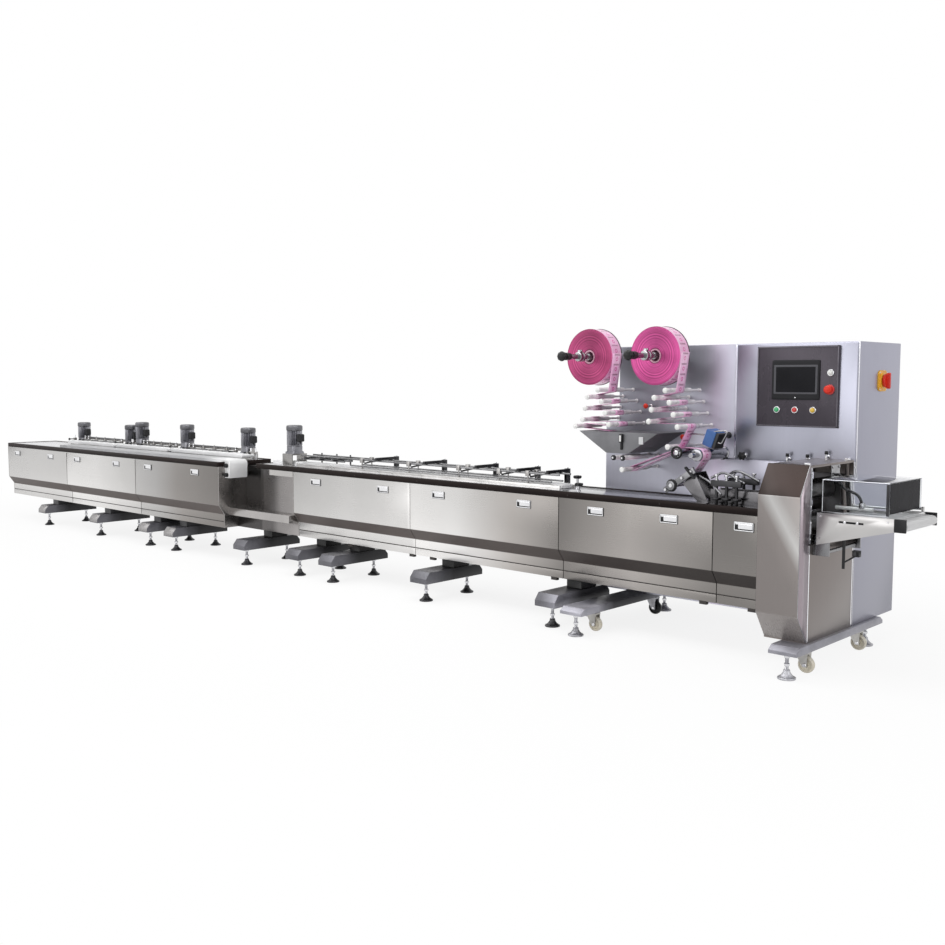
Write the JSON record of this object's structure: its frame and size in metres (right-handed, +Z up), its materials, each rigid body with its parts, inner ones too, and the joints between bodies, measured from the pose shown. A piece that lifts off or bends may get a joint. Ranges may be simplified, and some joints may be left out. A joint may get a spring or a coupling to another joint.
{
  "type": "horizontal flow wrapper",
  "caption": "Horizontal flow wrapper with a long belt feeder, transfer recess, infeed table, twin film reels over roller stacks, control cabinet, sealing jaws and guarded outfeed.",
  "frame": {"origin": "centre of the footprint at floor level", "axes": "+X along product travel from feeder to outfeed, +Y away from the operator side, +Z up"},
  "size_m": [9.357, 1.19, 1.751],
  "materials": {
    "stainless": "brushed stainless sheet",
    "dark_trim": "dark brown-black edge strip, semi-gloss",
    "table_steel": "fine brushed table plate",
    "grey_steel": "plain machined steel",
    "dark_steel": "dark blackened steel",
    "belt_white": "white food belt",
    "motor_grey": "grey cast motor housing",
    "cabinet_paint": "bluish grey satin finish",
    "beam_paint": "blue-grey painted channel",
    "foot_steel": "dark foot with bright stem",
    "chrome": "polished",
    "white_plastic": "white end cap",
    "black_plastic": "black moulded grip",
    "bracket_grey": "dark grey bracket",
    "panel_dark": "dark brown panel",
    "screen": "glossy touch screen",
    "button_plastic": "coloured push buttons",
    "red_plastic": "red",
    "yellow_plastic": "yellow",
    "film_pink": "wound pink film edge",
    "web_pink": "pink printed film",
    "coder_blue": "blue housing",
    "acrylic": "clear sheet",
    "zinc": "zinc plated",
    "nylon": "cream nylon"
  },
  "bodies": {
    "machine": {"belt_frames": "grey_steel", "cabinet_door": "cabinet_paint", "cabinet_shell": "cabinet_paint", "clamp_levers": "black_plastic", "control_panel": "panel_dark", "conveyor_belts": "belt_white", "conveyor_cores": "stainless", "cross_beams": "beam_paint", "date_coder": "coder_blue", "edge_trim": "dark_trim", "emergency_stop": "red_plastic", "end_housing": "stainless", "end_seal_guard": "stainless", "film_drive_rollers": "chrome", "film_plates": "cabinet_paint", "film_web": "web_pink", "fin_seal_wheels": "dark_steel", "forming_box": "stainless", "front_panels": "stainless", "geared_motors": "motor_grey", "hand_knobs": "black_plastic", "hold_down_arm": "dark_steel", "idler_caps": "white_plastic", "idler_rollers": "chrome", "infeed_posts": "dark_steel", "infeed_rails": "grey_steel", "isolator_base": "yellow_plastic", "jaw_cheeks": "dark_steel", "levelling_feet": "foot_steel", "motor_bridges": "grey_steel", "nose_roller_ends": "black_plastic", "outfeed_brace": "grey_steel", "outfeed_side_plates": "stainless", "panel_latches": "chrome", "plate_fittings": "grey_steel", "push_buttons": "button_plastic", "rear_panels": "stainless", "sealing_jaws": "dark_steel", "sensor_bracket": "black_plastic", "swing_arm": "grey_steel", "table_plates": "table_steel", "terminal_boxes": "black_plastic", "touch_screen": "screen", "transfer_housing": "stainless", "transfer_tray": "stainless", "web_bracket": "bracket_grey"},
    "reel_left": {"film_reel_left": "film_pink", "reel_mandrel_left": "chrome"},
    "reel_right": {"film_reel_right": "film_pink", "reel_mandrel_right": "chrome"},
    "guard": {"outfeed_guard": "acrylic"},
    "isolator": {"isolator_handle": "red_plastic"},
    "caster_front_left": {"caster_fork_front_left": "zinc"},
    "wheel_front_left": {"caster_wheel_front_left": "nylon"},
    "caster_rear_left": {"caster_fork_rear_left": "zinc"},
    "wheel_rear_left": {"caster_wheel_rear_left": "nylon"},
    "caster_front_right": {"caster_fork_front_right": "zinc"},
    "wheel_front_right": {"caster_wheel_front_right": "nylon"},
    "caster_rear_right": {"caster_fork_rear_right": "zinc"},
    "wheel_rear_right": {"caster_wheel_rear_right": "nylon"}
  },
  "joints": [
    {"name": "reel_left_spin", "type": "hinge", "parent": "machine", "child": "reel_left", "pos_m": [2.7115, -0.175, 1.584], "axis": [0, 1, 0], "continuous": true},
    {"name": "reel_right_spin", "type": "hinge", "parent": "machine", "child": "reel_right", "pos_m": [3.1685, -0.175, 1.584], "axis": [0, 1, 0], "continuous": true},
    {"name": "guard_lift", "type": "hinge", "parent": "machine", "child": "guard", "pos_m": [4.4215, -0.045, 0.826], "axis": [-1, 0, 0], "range_deg": [0, 75]},
    {"name": "isolator_turn", "type": "hinge", "parent": "machine", "child": "isolator", "pos_m": [4.2415, 0.35, 1.445], "axis": [1, 0, 0], "range_deg": [0, 90]},
    {"name": "caster_front_left_swivel", "type": "hinge", "parent": "machine", "child": "caster_front_left", "pos_m": [2.8765, -0.395, 0.112], "axis": [0, 0, 1], "continuous": true},
    {"name": "wheel_front_left_roll", "type": "hinge", "parent": "caster_front_left", "child": "wheel_front_left", "pos_m": [2.9065, -0.395, 0.047], "axis": [0, 1, 0], "continuous": true},
    {"name": "caster_rear_left_swivel", "type": "hinge", "parent": "machine", "child": "caster_rear_left", "pos_m": [2.8765, 0.22, 0.112], "axis": [0, 0, 1], "continuous": true},
    {"name": "wheel_rear_left_roll", "type": "hinge", "parent": "caster_rear_left", "child": "wheel_rear_left", "pos_m": [2.9065, 0.22, 0.047], "axis": [0, 1, 0], "continuous": true},
    {"name": "caster_front_right_swivel", "type": "hinge", "parent": "machine", "child": "caster_front_right", "pos_m": [4.1665, -0.395, 0.112], "axis": [0, 0, 1], "continuous": true},
    {"name": "wheel_front_right_roll", "type": "hinge", "parent": "caster_front_right", "child": "wheel_front_right", "pos_m": [4.1965, -0.395, 0.047], "axis": [0, 1, 0], "continuous": true},
    {"name": "caster_rear_right_swivel", "type": "hinge", "parent": "machine", "child": "caster_rear_right", "pos_m": [4.1665, 0.22, 0.112], "axis": [0, 0, 1], "continuous": true},
    {"name": "wheel_rear_right_roll", "type": "hinge", "parent": "caster_rear_right", "child": "wheel_rear_right", "pos_m": [4.1965, 0.22, 0.047], "axis": [0, 1, 0], "continuous": true}
  ]
}
